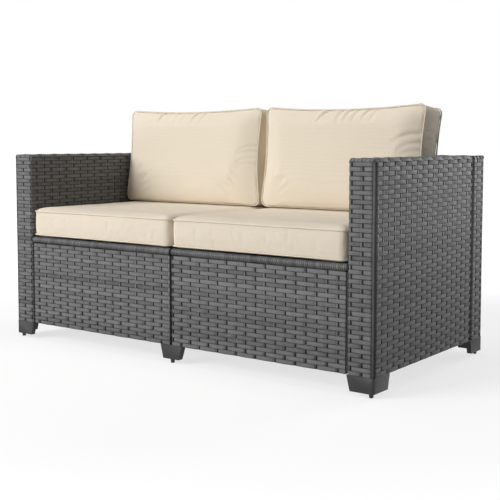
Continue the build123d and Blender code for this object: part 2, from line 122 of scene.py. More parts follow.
def strands(centre, across, outward, half_width, section, closed=False, depth=None):
    """Many equal strands at once. Each ring is the section laid over a centreline point:
    point = centre + across * half width * share + outward * height, ring after ring."""
    rings = (
        centre[:, :, None]
        + across[:, :, None] * (half_width[..., None] * section[:, 0])[..., None]
        + outward[:, :, None] * section[:, 1][:, None]
    )
    shape = rings.shape[:3]
    points = rings.reshape(-1, 3)
    index = np.arange(len(points)).reshape(shape)
    caps = [] if closed else [np.concatenate([index[:, 0, ::-1], index[:, -1]])]
    tone = random.normal(0, 1, shape[0])
    depth = np.zeros(shape[:2]) if depth is None else depth
    return {
        "points": points,
        "faces": facing_out(points, grid_quads(index, closed), *caps),
        "across": np.broadcast_to(section[:, 0] / 2 + 0.5, shape).ravel(),
        "tone": np.broadcast_to(tone[:, None, None], shape).ravel(),
        # depth is the painted shade at each point of a strand
        "depth": np.broadcast_to(depth[:, :, None], shape).ravel(),
    }


def placed(name, data):
    """A new object in the scene."""
    thing = bpy.data.objects.new(name, data)
    scene.collection.objects.link(thing)
    return thing


def mesh_object(name, points, faces, uv=None, attributes=None):
    """An object from arrays of points and of faces with one count of corners each."""
    faces = [np.asarray(f) for f in faces if len(f)]
    corners = np.concatenate([f.ravel() for f in faces])
    sizes = np.concatenate([np.full(len(f), f.shape[1]) for f in faces])
    mesh = bpy.data.meshes.new(name)
    mesh.vertices.add(len(points))
    mesh.vertices.foreach_set("co", np.asarray(points, np.float32).ravel())
    mesh.loops.add(len(corners))
    mesh.loops.foreach_set("vertex_index", corners.astype(np.int32))
    mesh.polygons.add(len(sizes))
    mesh.polygons.foreach_set("loop_start", (np.cumsum(sizes) - sizes).astype(np.int32))
    mesh.polygons.foreach_set("use_smooth", np.ones(len(sizes), bool))
    mesh.update(calc_edges=True)
    if uv is not None:
        layer = mesh.uv_layers.new(name="strand_uv")
        layer.data.foreach_set("uv", uv[corners].astype(np.float32).ravel())
    for key, values in (attributes or {}).items():
        attribute = mesh.attributes.new(key, "FLOAT", "POINT")
        attribute.data.foreach_set("value", values.astype(np.float32))
    mesh.validate()
    return placed(name, mesh)


def finished(piece, material, nodes, body="loveseat"):
    """Gives a piece its material and slot, rides it on its body and hides what it replaces."""
    piece.data.materials.clear()
    piece.data.materials.append(material)
    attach(piece, body)
    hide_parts(*nodes)


def woven_piece(name, side, blocks, node):
    """A piece of woven resin that stands for a node, from blocks of strands with their
    across UV, tone and depth, which is their painted shade. The left side's is the right side's
    in a mirror."""
    offsets = np.cumsum([0] + [len(b["points"]) for b in blocks])
    faces = [f + offset for b, offset in zip(blocks, offsets) for f in b["faces"]]
    keys = ("points", "across", "tone", "depth")
    points, across, tone, depth = (np.concatenate([b[k] for b in blocks]) for k in keys)
    if side == "left":
        points = points * np.array([-1.0, 1.0, 1.0])
        faces = [f[:, ::-1] for f in faces]
    # strand_depth carries painted shade for the resin material
    attributes = {"strand_tone": tone, "strand_depth": depth}
    piece = mesh_object(name, points, faces, np.stack([across, tone], -1), attributes)
    finished(piece, resin, [node])


# Weaving
def rounded_loop(low, high, radius):
    """A rounded rectangle in plan, anticlockwise by arc length from the left end of its
    front flat. The result gives points and outward normals for arc lengths."""
    flats = (high[0] - low[0] - 2 * radius, high[1] - low[1] - 2 * radius)
    lengths = [flats[0], pi / 2 * radius, flats[1], pi / 2 * radius] * 2
    edges = np.cumsum([0.0] + lengths)
    left, right = low[0] + radius, high[0] - radius
    front, rear = low[1] + radius, high[1] - radius
    centres = np.array([(right, front), (right, rear), (left, rear), (left, front)])

    def at(run):
        run = np.asarray(run) % edges[-1]
        part = np.clip(np.searchsorted(edges, run, side="right") - 1, 0, 7)
        past = run - edges[part]
        side, on_arc = part // 2, part % 2 == 1
        angle = (side - 1) * pi / 2 + np.where(on_arc, past / radius, 0)
        normal = np.stack([np.cos(angle), np.sin(angle)], -1)
        forward = np.stack([-normal[..., 1], normal[..., 0]], -1)
        centre = centres[np.where(on_arc, side, (side - 1) % 4)]
        point = centre + radius * normal + np.where(on_arc, 0, past)[..., None] * forward
        return point, normal

    return at, edges


def stake_phase(run, stakes, total=None):
    """Counts stakes along a strand: whole numbers at the stakes, even steps between."""
    if total is None:
        first, last = stakes[1] - stakes[0], stakes[-1] - stakes[-2]
        known = np.concatenate([[stakes[0] - 3 * first], stakes, [stakes[-1] + 3 * last]])
        count = np.concatenate([[-3], np.arange(len(stakes)), [len(stakes) + 2]])
    else:
        known = np.concatenate([[stakes[-1] - total], stakes, [stakes[0] + total]])
        count = np.arange(-1, len(stakes) + 1)
    return np.interp(run, known, count)


def row_places(start, end):
    """The middles of even rows between two places, and their pitch."""
    count = round((end - start) / row_height)
    pitch = (end - start) / count
    return start + pitch * (np.arange(count) + 0.5), pitch


def row_width(pitch, sink):
    """Half the width of a row's strand, which spreads a little where it lies on top."""
    return pitch / 2 * (strand_spread[0] + strand_spread[1] * np.clip(1 - sink, 0, 1))


def stake_strands(centre, across, outward):
    """Stakes of one width and one painted shade along their centrelines: the same resin, darkened
    as if in shade.
    """
    shape = centre.shape[:2]
    half_width, depth = np.full(shape, stake_half_width), np.full(shape, stake_painted_shade)
    return strands(centre, across, outward, half_width, stake_section, depth=depth)


def weave_sink(count):
    """How deep a strand runs, from 0 over one stake to 1 under the next, and its painted shade.
    A gentle share is half of one minus the cosine of pi times the stake count. The rest is a
    steep dive close to the stake the strand goes under, and painted shade makes it dark there."""
    wave = np.cos(pi * count)
    away = np.arccos(np.clip(-wave, -1, 1)) / pi
    dive = np.clip((dive_far - away) / (dive_far - dive_near), 0, 1)
    gentle = (1 - wave) / 2
    return gentle_share * gentle + (1 - gentle_share) * dive, 0.25 * gentle + under_painted_shade * dive


def weave_samples(stakes, start, end):
    """Places along a strand: its ends and, between any two stakes, those where it is down,
    starts to dive and runs level."""
    known = np.concatenate([[2 * stakes[0] - stakes[1]], stakes, [2 * stakes[-1] - stakes[-2]]])
    runs = (known[:-1, None] + np.diff(known)[:, None] * stake_steps).ravel()
    runs = runs[(runs > start + end_gap) & (runs < end - end_gap)]
    return np.concatenate([[start], runs, [end]])


def wall_rows(at, runs, stakes, heights, pitch, total, closed, under=0):
    """Horizontal strands of a wall, one row over the stakes that the next goes under. Where
    under is 1, all rows run below a corner binding and are darkened with painted shade."""
    point, normal = at(runs)
    phase = stake_phase(runs, stakes, total) + np.arange(len(heights))[:, None]
    sink, shade = weave_sink(phase)
    sink = np.maximum(sink, binding_depth * under)
    # Painted shade on the rows that run under a corner binding
    shade = np.maximum(shade, under_painted_shade * under)
    lift = random.uniform(0, 2 * pi, (len(heights), 2))
    sway = np.sin(runs * 19 + lift[:, :1]) + 0.8 * np.sin(runs * 61 + lift[:, 1:])
    centre = np.zeros((len(heights), len(runs), 3))
    centre[..., :2] = point - normal * (sink * weave_depth)[..., None]
    centre[..., 2] = heights[:, None] + strand_wobble * sway
    across = everywhere((0, 0, 1), centre)
    outward = np.zeros_like(centre)
    outward[..., :2] = normal
    width = row_width(pitch, sink)
    return strands(centre, across, outward, width, strand_section, closed, depth=shade)


def wall_stakes(at, stakes, low_z, high_z, shift):
    """Upright stakes at the middle of the weave's depth, each a little off the middle of
    its place, so that the gap is open on one side."""
    point, normal = at(stakes + shift)
    centre = np.zeros((len(stakes), 2, 3))
    centre[..., :2] = (point - normal * stake_depth)[:, None]
    centre[..., 2] = low_z, high_z
    outward = np.zeros_like(centre)
    outward[..., :2] = normal[:, None]
    across = np.stack([-outward[..., 1], outward[..., 0], outward[..., 2]], -1)
    return stake_strands(centre, across, outward)


# The way along a loop, at each corner, to the box's left or right face
corner_ways = np.array([1, -1, 1, -1])


def corner_middles(edges):
    """Arc lengths at the middles of a loop's four corners."""
    return (edges[1:8:2] + edges[2:9:2]) / 2


def loop_samples(stakes, edges):
    """Arc lengths along a closed loop: between its stakes, and on either side of each
    corner binding and under it."""
    closed = np.append(stakes, stakes[0] + edges[-1])
    runs = (closed[:-1, None] + np.diff(closed)[:, None] * stake_steps).ravel()
    places = np.array([*binding_edges[:2], -0.0034, 0, 0.0034, 0.0068, *binding_edges[2:]])
    corners = corner_middles(edges)[:, None] + places * corner_ways[:, None]
    near = np.abs(runs[:, None] - corner_middles(edges)).min(1) < binding_edges[3] + end_gap
    return np.sort(np.concatenate([runs[~near], corners.ravel()]))


def under_bindings(runs, edges, corners):
    """1 along the stretches of a loop that a corner binding covers, and 0 elsewhere. On the
    box's left and right faces the strands come up a little further from it."""
    away = (runs[:, None] - corner_middles(edges)[corners]) * corner_ways[corners]
    away = away[np.arange(len(runs)), np.abs(away).argmin(1)]
    return np.interp(away, binding_edges, (0, 1, 1, 0))


def corner_bindings(at, edges, low_z, high_z, corners):
    """A flat strand up each corner of a wall, a little bent: its section is the chord of
    the arc plus three tenths of the arc's rise over it. Its colour is darkened with painted
    shade, as a corner in shade."""
    blocks = []
    share = np.linspace(-1, 1, 9)
    fall = 0.0005 * np.abs(share) ** 6
    for middle in corner_middles(edges)[corners]:
        point, normal = at(middle + share * binding_reach)
        chord = point[0] + (point[-1] - point[0]) * (share[:, None] + 1) / 2
        point = 0.3 * point + 0.7 * chord
        inner = point - normal * strand_thickness
        ring = np.concatenate([point - normal * fall[:, None], inner[::-1]])
        around = len(ring)
        points = np.zeros((2, around, 3))
        points[..., :2] = ring
        points[..., 2] = [[low_z], [high_z]]
        k = np.arange(around // 2 - 1)
        cap = np.stack([k, k + 1, around - 2 - k, around - 1 - k], -1)
        quads = grid_quads(np.arange(2 * around).reshape(2, -1))
        block = {"points": points.reshape(-1, 3), "faces": [quads, cap[:, ::-1], cap + around]}
        block["across"] = np.tile(np.concatenate([share, share[::-1]]) / 2 + 0.5, 2)
        block["tone"] = np.full(2 * around, random.normal())
        # Painted shade: the binding is darkened as a corner in shade
        block["depth"] = np.full(2 * around, binding_painted_shade)
        blocks.append(block)
    return blocks


def rounded_cap(low, high, radius, top, along, run, across):
    """Lays a flat sheet over the rounded top of a box. Past the flat, the sheet's excess
    becomes an angle on the rounded edge: angle = excess / radius, towards the excess."""
    limits = [(low[k] + radius, high[k] - radius) for k in (along, 1 - along)]
    flat = [np.clip(v, *limit) for v, limit in zip((run, across), limits)]
    excess = [run - flat[0], across - flat[1]]
    length = np.hypot(*excess)
    angle = np.clip(length / radius, 0, pi / 2)
    safe = np.where(length < 1e-9, 1, length)
    normal, point = np.zeros((2, *run.shape, 3))
    for part, way in enumerate((along, 1 - along)):
        normal[..., way] = excess[part] / safe * np.sin(angle)
        point[..., way] = flat[part]
    normal[..., 2] = np.cos(angle)
    point[..., 2] = top - radius
    return point + radius * normal, normal


def cap_weave(low, high, radius, top, along, stakes):
    """The woven top of a boxed arm or backrest: strands along it, stakes across it."""
    arc = pi / 2 * radius
    start, end = low[along] + radius, high[along] - radius
    side_low, side_high = low[1 - along] + radius - arc, high[1 - along] - radius + arc
    rows, pitch = row_places(side_low, side_high)
    over_edge = np.abs(rows - np.clip(rows, side_low + arc, side_high - arc))
    reach = np.sqrt(np.clip(arc**2 - over_edge**2, 0, None))
    middle = weave_samples(stakes, start, end)
    turn = np.linspace(1, 0, 5)[:-1]
    runs = np.stack(
        [np.concatenate([start - r * turn, middle, end + r * turn[::-1]]) for r in reach]
    )
    places = np.broadcast_to(rows[:, None], runs.shape)
    cap = (low, high, radius, top, along)
    point, normal = rounded_cap(*cap, runs, places)
    step = 0.0005
    across = rounded_cap(*cap, runs, places + step)[0] - rounded_cap(*cap, runs, places - step)[0]
    across /= np.linalg.norm(across, axis=-1, keepdims=True) + 1e-12
    # shade is the painted shade of the dips under the stakes
    sink, shade = weave_sink(stake_phase(runs, stakes) + np.arange(len(rows))[:, None])
    centre = point - normal * (sink * weave_depth)[..., None]
    width = row_width(pitch, sink)
    wefts = strands(centre, across, normal, width, strand_section, depth=shade)

    cross = np.linspace(side_low, side_high, 24)
    stakes = stakes[(stakes > start - 0.002) & (stakes < end + 0.002)]
    runs = np.broadcast_to(stakes[:, None], (len(stakes), len(cross)))
    point, normal = rounded_cap(*cap, runs, np.broadcast_to(cross, runs.shape))
    sideways = everywhere(np.eye(3)[along], point)
    return [wefts, stake_strands(point - normal * stake_depth, sideways, normal)]


def lip_rows(low, high):
    """Two flat strands turned in under a box's lower tubes, in closed rectangular rings."""
    blocks = []
    width = lip_width / 2
    for row in range(2):
        inset = width * (row + 0.5)
        corner = max(skin_corner - inset, 0.0015)
        ring_low = (low[0] + inset, low[1] + inset)
        ring_high = (high[0] - inset, high[1] - inset)
        at, edges = rounded_loop(ring_low, ring_high, corner)
        runs = np.concatenate(
            [np.linspace(edges[k], edges[k + 1], (24, 5)[k % 2], endpoint=False) for k in range(8)]
        )
        point, normal = at(runs)
        centre = np.column_stack([point, np.full(len(runs), low[2])])[None]
        across = np.column_stack([normal, np.zeros(len(runs))])[None]
        down = everywhere((0, 0, -1), centre)
        half_width = np.full((1, len(runs)), width / 2)
        blocks.append(strands(centre, across, down, half_width, strand_section, True))
    return blocks


def boxed_weave(low, high, stakes, cap_along, cap_stakes, shifts, corners):
    """The woven skin of an arm or backrest: walls, top and lower lip, with bindings up the
    given corners. It comes as the lower rows, the upper rows and what caps them, so that
    each piece stays light."""
    at, edges = rounded_loop(low, high, skin_corner)
    wall_top = high[2] - skin_corner
    heights, pitch = row_places(low[2], wall_top)
    runs = loop_samples(stakes, edges)
    half = len(heights) // 4 * 2
    around = (pitch, edges[-1], True, under_bindings(runs, edges, corners))
    lower = [wall_rows(at, runs, stakes, heights[:half], *around)]
    lower += lip_rows(low, high)
    upper = [wall_rows(at, runs, stakes, heights[half:], *around)]
    cap = [wall_stakes(at, stakes, low[2] + strand_thickness, wall_top, shifts)]
    cap += corner_bindings(at, edges, low[2] + 0.001, wall_top, corners)
    cap += cap_weave(low, high, skin_corner, high[2], cap_along, cap_stakes)
    return {"lower": lower, "upper": upper, "cap": cap}


# Shared shader effects
def feed(tree, socket, value):
    """Links a socket to another one, or gives it a plain value."""
    if isinstance(value, bpy.types.NodeSocket):
        tree.links.new(value, socket)
    else:
        socket.default_value = value


def add_node(tree, kind, settings=None, **sockets):
    """Adds a node; sockets are links or plain values, named with underscores for spaces."""
    node = tree.nodes.new(kind)
    for key, value in (settings or {}).items():
        setattr(node, key, value)
    names = {s.name.replace(" ", "_"): s for s in reversed(node.inputs) if s.enabled}
    for key, value in sockets.items():
        feed(tree, names[key], value)
    return node


def math_node(tree, operation, *values):
    node = add_node(tree, "ShaderNodeMath", {"operation": operation})
    for socket, value in zip(node.inputs, values):
        feed(tree, socket, value)
    return node.outputs[0]


def mix_colours(tree, factor, first, second):
    node = add_node(tree, "ShaderNodeMix", {"data_type": "RGBA"})
    for number, value in ((0, factor), (6, first), (7, second)):
        feed(tree, node.inputs[number], value)
    return node.outputs[2]


def noise(tree, place, scale, detail):
    return add_node(tree, "ShaderNodeTexNoise", Vector=place, Scale=scale, Detail=detail).outputs[0]


def map_range(tree, value, settings=None, **limits):
    return add_node(tree, "ShaderNodeMapRange", settings, Value=value, **limits).outputs[0]


def seen_directly(tree):
    """1 for rays of the camera and those reflected or let through, which show a backdrop,
    and 0 for rays that carry its light."""
    path = tree.nodes.new("ShaderNodeLightPath").outputs
    seen = math_node(tree, "MAXIMUM", path["Is Camera Ray"], path["Is Glossy Ray"])
    return math_node(tree, "MAXIMUM", seen, path["Is Transmission Ray"])


speckle = bpy.data.node_groups.new("surface_speckle", "ShaderNodeTree")
speckle_sockets = {
    "INPUT": "Scale Float, Light Color, Dark Color, Smooth Float, Rough Float",
    "OUTPUT": "Color Color, Roughness Float, Height Float",
}
for way, sockets in speckle_sockets.items():
    for label, kind in (socket.split() for socket in sockets.split(", ")):
        kind = "NodeSocket" + kind
        speckle.interface.new_socket(name=label, in_out=way, socket_type=kind)
given = speckle.nodes.new("NodeGroupInput").outputs
place = add_node(speckle, "ShaderNodeTexCoord").outputs["Object"]
fine = noise(speckle, place, given["Scale"], 4.0)
broad = math_node(speckle, "MULTIPLY", noise(speckle, place, 9.0, 3.0), 0.4)
blend = math_node(speckle, "ADD", math_node(speckle, "MULTIPLY", fine, 0.6), broad)
colour = mix_colours(speckle, blend, given["Dark"], given["Light"])
limits = {"From_Min": 0.3, "From_Max": 0.7, "To_Min": given["Smooth"], "To_Max": given["Rough"]}
rough = map_range(speckle, blend, **limits)
add_node(speckle, "NodeGroupOutput", Color=colour, Roughness=rough, Height=fine)


def new_material(name, **constants):
    """A material of one shader, with the constants on the shader's own sockets."""
    material = bpy.data.materials.new(name)
    material.use_nodes = True
    tree = material.node_tree
    tree.nodes.clear()
    shader = add_node(tree, "ShaderNodeBsdfPrincipled", **constants)
    add_node(tree, "ShaderNodeOutputMaterial", Surface=shader.outputs[0])
    return material, tree, shader


def bump(tree, shader, height, distance):
    node = add_node(tree, "ShaderNodeBump", Height=height, Distance=distance, Strength=1.0)
    feed(tree, shader.inputs["Normal"], node.outputs[0])


def plain_material(name, scale, light, dark, smooth, rough, distance, **constants):
    """A coated, moulded or plated surface: speckle in colour, roughness and height."""
    material, tree, shader = new_material(name, **constants)
    group = add_node(tree, "ShaderNodeGroup", {"node_tree": speckle})
    for socket, value in zip(group.inputs, (scale, (*light, 1), (*dark, 1), smooth, rough)):
        socket.default_value = value
    feed(tree, shader.inputs["Base Color"], group.outputs["Color"])
    feed(tree, shader.inputs["Roughness"], group.outputs["Roughness"])
    bump(tree, shader, group.outputs["Height"], distance)
    return material


def resin_material(name, light, dark):
    """Woven resin strand: drawn grooves along it, a tone of its own for each strand, painted
    shade at its two edges and where its strand_depth marks shade, as where it dips under a
    stake, satin with small scuffs."""
    material, tree, shader = new_material(name, Specular_IOR_Level=0.34)
    across = add_node(tree, "ShaderNodeUVMap", {"uv_map": "strand_uv"}).outputs[0]
    across = add_node(tree, "ShaderNodeSeparateXYZ", Vector=across).outputs[0]
    narrow = math_node(tree, "SINE", math_node(tree, "MULTIPLY", across, 44.0))
    broad = math_node(tree, "SINE", math_node(tree, "MULTIPLY_ADD", across, 15.7, -1.6))
    grooves = math_node(tree, "MULTIPLY_ADD", narrow, 0.45, broad)
    tone, depth = (
        add_node(tree, "ShaderNodeAttribute", {"attribute_name": "strand_" + key}).outputs["Fac"]
        for key in ("tone", "depth")
    )
    place = add_node(tree, "ShaderNodeTexCoord").outputs["Object"]
    cloudy, fine = noise(tree, place, 55.0, 3.0), noise(tree, place, 900.0, 2.0)
    shade = math_node(tree, "MULTIPLY_ADD", tone, 0.10, math_node(tree, "MULTIPLY", cloudy, 0.5))
    shade = math_node(tree, "MULTIPLY_ADD", fine, 0.25, shade)
    shade = math_node(tree, "MULTIPLY_ADD", grooves, 0.045, shade)
    # Painted shade in the grooves between neighbouring strands, at both edges of a strand
    edge = math_node(tree, "ABSOLUTE", math_node(tree, "MULTIPLY_ADD", across, 2.0, -1.0))
    edge = math_node(tree, "POWER", edge, 6.0)
    shade = math_node(tree, "MULTIPLY_ADD", edge, -1.15, math_node(tree, "ADD", shade, 0.34))
    # Painted shade from strand_depth: dips under stakes, the stakes, the bindings, the rail's
    # grooves and underside
    shade = math_node(tree, "MULTIPLY_ADD", math_node(tree, "MULTIPLY", depth, depth), -0.68, shade)
    shade = math_node(tree, "MINIMUM", math_node(tree, "MAXIMUM", shade, 0.0), 1.0)
    feed(tree, shader.inputs["Base Color"], mix_colours(tree, shade, (*dark, 1), (*light, 1)))
    rough = map_range(tree, cloudy, To_Min=0.46, To_Max=0.64)
    feed(tree, shader.inputs["Roughness"], rough)
    height = math_node(tree, "MULTIPLY_ADD", fine, 0.5, math_node(tree, "MULTIPLY", grooves, 0.35))
    bump(tree, shader, height, 0.00012)
    return material


def cloth_material(name, light, dark, thread):
    """Woven polyester cloth: threads crossing on all sides, uneven yarn, soft sheen."""
    looks = {"Roughness": 0.86, "Sheen_Weight": 0.12, "Sheen_Roughness": 0.4}
    material, tree, shader = new_material(name, **looks, Specular_IOR_Level=0.25)
    place = add_node(tree, "ShaderNodeTexCoord").outputs["Object"]
    waves = {"Vector": place, "Scale": thread, "Distortion": 1.2}
    waves.update(Detail=2.0, Detail_Scale=2.0)
    warp, weft, deep = (
        add_node(tree, "ShaderNodeTexWave", {"bands_direction": way}, **waves).outputs["Fac"]
        for way in "XZY"
    )
    threads = math_node(tree, "ADD", math_node(tree, "ADD", warp, weft), deep)
    slub, cloudy = noise(tree, place, 140.0, 4.0), noise(tree, place, 5.0, 2.0)
    shade = math_node(tree, "MULTIPLY_ADD", threads, 0.16, math_node(tree, "MULTIPLY", slub, 0.35))
    shade = math_node(tree, "MULTIPLY_ADD", cloudy, 0.35, shade)
    shade = math_node(tree, "MINIMUM", shade, 1.0)
    feed(tree, shader.inputs["Base Color"], mix_colours(tree, shade, (*dark, 1), (*light, 1)))
    bump(tree, shader, math_node(tree, "MULTIPLY_ADD", slub, 0.6, threads), 0.00012)
    return material


resin = resin_material("woven_resin", (0.198, 0.198, 0.199), (0.006, 0.006, 0.006))
# Scale, light, dark, smooth, rough and depth of the speckle on the plain materials
coat, moulded, slick, plating = (
    (900.0, (0.035, 0.035, 0.037), (0.018, 0.018, 0.02), 0.42, 0.6, 0.00008),
    (700.0, (0.026, 0.026, 0.027), (0.012, 0.012, 0.013), 0.4, 0.62, 0.00006),
    (500.0, (0.03, 0.03, 0.03), (0.012, 0.012, 0.013), 0.35, 0.6, 0.00005),
    (600.0, (0.62, 0.62, 0.60), (0.42, 0.42, 0.42), 0.25, 0.45, 0.00004),
)
steel = plain_material("powder_coated_steel", *coat)
plastic = plain_material("moulded_plastic", *moulded)
nylon = plain_material("glide_nylon", *slick)
zinc = plain_material("plated_steel", *plating, Metallic=1.0)
cloth = cloth_material("cream_cloth", (0.86, 0.77, 0.635), (0.78, 0.685, 0.55), 190.0)
piping_cloth = cloth_material("piping_cloth", (0.88, 0.80, 0.67), (0.76, 0.67, 0.54), 300.0)


# Arms and backrest. Stakes stand at arc lengths from the left end of the front flat
arm_side, arm_inside = np.linspace(0.1109, 0.6510, 18), np.linspace(0.7500, 1.3060, 18)
arm_front, arm_rear = (0.0004, 0.0330, 0.0694, 0.0840), (0.6840, 0.7180)
arm_stakes = np.concatenate([arm_front, arm_side, arm_rear, arm_inside])
arm_side_start = 0.0771
low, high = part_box("arm_wicker_right")
cap_stakes = low[1] + skin_corner + (arm_stakes[3:22] - arm_side_start)
for side, sign in (("right", 1), ("left", -1)):
    shifts = np.where(arm_stakes < 0.07, -sign * stake_shift, stake_shift)
    skin = boxed_weave(low, high, arm_stakes, 1, cap_stakes, shifts, [0, 1])
    for part, blocks in skin.items():
        woven_piece(f"arm_weave_{side}_{part}", side, blocks, f"arm_wicker_{side}")

low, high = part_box("back_wicker")
total = rounded_loop(low, high, skin_corner)[1][-1]
count = 2 * round(total / stake_pitch / 2)
stakes = total / count * (np.arange(count) + 0.35)
cap_stakes = low[0] + skin_corner + stakes[stakes < high[0] - low[0]]
skin = boxed_weave(low, high, stakes, 0, cap_stakes, stake_shift, [1, 2])
for part, blocks in skin.items():
    woven_piece(f"back_weave_{part}", "middle", blocks, "back_wicker")

# Skirts, decks and wrapped rails
skirt_curl = 0.0028
skirt_pitches = {"right": (0.0333, 0.0254), "left": (0.0336, 0.0219)}
for side, sign in (("right", 1), ("left", -1)):
    low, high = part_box("skirt_wicker_right")
    curl_high = (high[0], low[1] + 2.2 * skirt_curl)
    at, edges = rounded_loop(low, curl_high, skirt_curl)
    heights, pitch = row_places(low[2], high[2])
    flat = edges[1]
    step, inset = skirt_pitches[side]
    stakes = np.arange(18) * step + (flat + skirt_curl - inset - 17 * step)
    turn = pi / 2 * skirt_curl * np.linspace(0, 1, 5)[1:]
    runs = np.concatenate([-turn[::-1], weave_samples(stakes, 0, flat), flat + turn])
    ends = (low[2] + strand_thickness, high[2] - strand_thickness)
    blocks = [
        wall_rows(at, runs, stakes, heights, pitch, None, False),
        wall_stakes(at, stakes, *ends, -sign * stake_shift),
    ]
    lip = np.array([[0.25], [0.75]]) * lip_width + low[1] + 0.001
    xs = np.linspace(low[0], high[0], 30)
    centre = np.stack(np.broadcast_arrays(xs, lip, low[2]), -1)
    across, down = everywhere((0, 1, 0), centre), everywhere((0, 0, -1), centre)
    half_width = np.full(centre.shape[:2], lip_width / 4)
    blocks.append(strands(centre, across, down, half_width, strand_section))
    woven_piece(f"skirt_weave_{side}", side, blocks, f"skirt_wicker_{side}")

    low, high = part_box("seat_deck_right")
    rows, pitch = row_places(low[1], high[1])
    stakes = low[0] + 0.012 + np.arange(18) * stake_pitch * 1.02
    xs = weave_samples(stakes, low[0], high[0])
    # shade is the painted shade of the dips under the stakes
    sink, shade = weave_sink(stake_phase(xs, stakes) + np.arange(len(rows))[:, None])
    centre = np.stack(np.broadcast_arrays(xs, rows[:, None], high[2] - sink * weave_depth), -1)
    across, up = everywhere((0, 1, 0), centre), everywhere((0, 0, 1), centre)
    width = row_width(pitch, sink)
    blocks = [strands(centre, across, up, width, strand_section, depth=shade)]
    ends = np.array([low[1] + strand_thickness, high[1] - strand_thickness])
    centre = np.stack(np.broadcast_arrays(stakes[:, None], ends, high[2] - stake_depth), -1)
    across, up = everywhere((1, 0, 0), centre), everywhere((0, 0, 1), centre)
    blocks.append(stake_strands(centre, across, up))
    woven_piece(f"deck_weave_{side}", side, blocks, f"seat_deck_{side}")


def wrapped_rail(low, high, core_radius, wrap_pitch):
    """Strand wound round a rail: radius = core + crown of the turn, and each turn climbs
    one pitch along the rail. The crown falls to a groove where two turns meet: it is
    1 - |2 share - 1|^5 at a share of the turn."""
    middle_y, middle_z = (low[1] + high[1]) / 2, (low[2] + high[2]) / 2
    radius = (high[2] - low[2]) / 2
    turns = round((high[0] - low[0]) / wrap_pitch)
    around = 32
    x = np.linspace(low[0], high[0], turns * 8 + 1)
    x, angle = np.meshgrid(x, np.arange(around) / around * 2 * pi, indexing="ij")
    x, angle, inside = (np.concatenate([v[:1], v, v[-1:]]) for v in (x, angle, 0 * x))
    inside[[0, -1]] = 1
    climb = (x - low[0]) / (high[0] - low[0]) * turns + angle / (2 * pi)
    share, turn = climb % 1, climb.astype(int)
    crown = 1 - np.abs(2 * share - 1) ** 5
    reach = core_radius + np.where(inside, -0.0012, (radius - core_radius) * crown)
    tone = random.normal(0, 1, turns + 2)
    points = np.stack([x, middle_y + reach * np.sin(angle), middle_z + reach * np.cos(angle)], -1)
    points = points.reshape(-1, 3)
    index = np.arange(len(points)).reshape(-1, around)
    # 1 on the rail's underside, where painted shade is put
    below = (1 - np.cos(angle)) / 2
    return {
        "points": points,
        "faces": facing_out(points, grid_quads(index, True)),
        "across": share.ravel(),
        "tone": tone[turn].ravel(),
        # Painted shade in the grooves between turns and on the rail's underside
        "depth": (0.9 * np.abs(2 * share - 1) ** 3 + below * 0.55).ravel(),
    }


for side in ("right", "left"):
    block = wrapped_rail(*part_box("rail_wrap_right"), core_radius=0.0092, wrap_pitch=0.0066)
    woven_piece(f"rail_winding_{side}", side, [block], f"rail_wrap_{side}")


# Cushions, each in its own axes: x along its width, y up it or towards the back, and z
# from its rear or lower seam to its front or upper one
def outline_points(half, corner, count):
    """Points round a rounded rectangle, evenly by arc length, with their outward normals."""
    at, edges = rounded_loop((-half[0], -half[1]), half, corner)
    return at(np.arange(count) / count * edges[-1])


def drawn_in(points, half, bows):
    """Pulls the four sides in between the corners. A side's pull is its bow times one minus
    the square of the share along it. bows are left, right, lower and upper."""
    share = points[..., :2] / half
    bow = np.where(share > 0, bows[1::2], bows[::2])
    moved = points.copy()
    moved[..., :2] -= share * bow * np.clip(1 - share[..., ::-1] ** 2, 0, 1)
    return moved


def settled(points, half, boxing, drop, spread, tuck, droop):
    """Lets the lower half of a standing cushion down on the seat: below its middle, a point
    sinks by drop and widens by spread, more towards the front and the bottom. The lower
    front seam is tucked back by tuck, and the panel over it hangs down by droop."""
    low = np.clip(-points[..., 1] / half[1], 0, 1)
    front = np.clip(points[..., 2] / boxing, 0, 1)
    seam = np.exp(-(((points[..., 2] - boxing) / 0.014) ** 2)) * low**8
    moved = points.copy()
    moved[..., 0] += spread * low**1.5 * np.clip(points[..., 0] / half[0], -1, 1)
    moved[..., 1] -= drop * low**1.5 * front
    moved[..., 2] -= tuck * seam
    proud = np.maximum(points[..., 2] - boxing, 0)
    moved[..., 1] -= droop * low**6 * (1 - np.exp(-proud / 0.006))
    return moved


def side_distances(points, half, corner):
    """How far plan points lie inside the upright and the level sides of a rounded
    rectangle, with its arcs drawn out to square corners: one of the two is nothing all
    along the outline."""
    q = np.abs(points[..., :2]) - (np.array(half) - corner)
    past = np.maximum(q, 0)
    length = np.linalg.norm(past, axis=-1, keepdims=True)
    longest = np.maximum(past.max(-1, keepdims=True), 1e-9)
    stretch = np.where(past.min(-1, keepdims=True) > 0, length / longest, 1)
    return corner - q * stretch


def crowned(points, half, corner, crown, reaches, belly):
    """How far a panel rises over its seam: crown * (1 - belly * share up) * rise across *
    rise up, with share = distance to the nearer side / that side's reach. Across, the rise
    is 1 - (1 - share)^3; up, it is (1 - (1 - share)^2)^power, with a circle's power, 0.5,
    below and 0.8 above. reaches are left, right, lower and upper."""
    y = points[..., 1]
    reach = np.where(points[..., :2] > 0, reaches[1::2], reaches[::2])
    share = np.clip(side_distances(points, half, corner) / reach, 0, 1)
    power = np.where(y < 0, 0.5, 0.8)
    rise = (1 - (1 - share[..., 0]) ** 3) * (1 - (1 - share[..., 1]) ** 2) ** power
    return crown * rise * (1 - belly * y / half[1])


